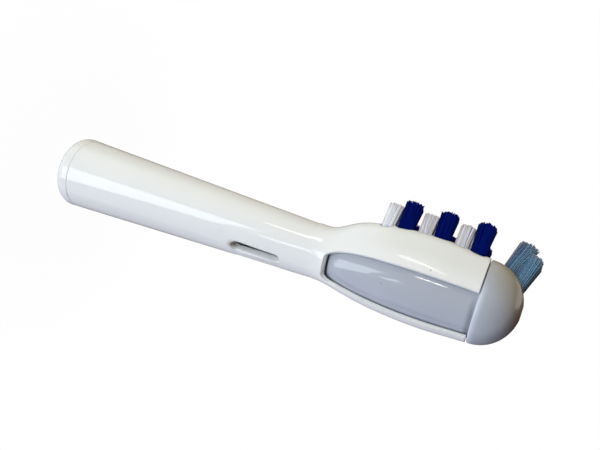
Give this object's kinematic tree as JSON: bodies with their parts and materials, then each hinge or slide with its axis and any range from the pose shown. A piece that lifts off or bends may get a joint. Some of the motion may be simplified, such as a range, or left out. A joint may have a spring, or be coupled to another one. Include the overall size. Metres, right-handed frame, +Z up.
{
  "type": "electric toothbrush head",
  "caption": "Electric toothbrush head: tapered hollow neck with a handle socket, windowed head frame with fixed tufts, and a swinging carrier with sweeping tufts and a domed tip.",
  "frame": {"origin": "centre of the socket's mouth, in the plane of the base rim that it stands on", "axes": "+Z up the neck along the drive axis towards the tip, -Y the way the bristles point, X across the head"},
  "size_m": [0.013, 0.0185, 0.0859],
  "materials": {
    "white_plastic": "gloss",
    "grey_plastic": "gloss",
    "coupling_plastic": "satin",
    "spring_steel": "satin",
    "shaft_steel": "satin",
    "white_bristle": "satin",
    "blue_bristle": "satin",
    "tip_bristle": "satin"
  },
  "bodies": {
    "housing": {"neck_housing": "white_plastic", "socket_insert": "white_plastic", "white_tuft_left_1": "white_bristle", "blue_tuft_left_1": "blue_bristle", "white_tuft_left_2": "white_bristle", "blue_tuft_left_2": "blue_bristle", "white_tuft_left_3": "white_bristle", "blue_tuft_left_3": "blue_bristle", "white_tuft_right_1": "white_bristle", "blue_tuft_right_1": "blue_bristle", "white_tuft_right_2": "white_bristle", "blue_tuft_right_2": "blue_bristle", "white_tuft_right_3": "white_bristle", "blue_tuft_right_3": "blue_bristle"},
    "carrier": {"swing_carrier": "grey_plastic", "drive_shaft": "shaft_steel", "shaft_coupling": "coupling_plastic", "coupling_clip": "spring_steel", "tip_tuft_rear": "tip_bristle", "tip_tuft_front": "tip_bristle", "inner_tuft_1": "white_bristle", "inner_tuft_2": "white_bristle", "inner_tuft_3": "white_bristle"}
  },
  "joints": [
    {"name": "carrier_swing", "type": "hinge", "parent": "housing", "child": "carrier", "pos_m": [0, 0, 0.05], "axis": [0, 0, 1], "range_deg": [-8, 8]}
  ]
}
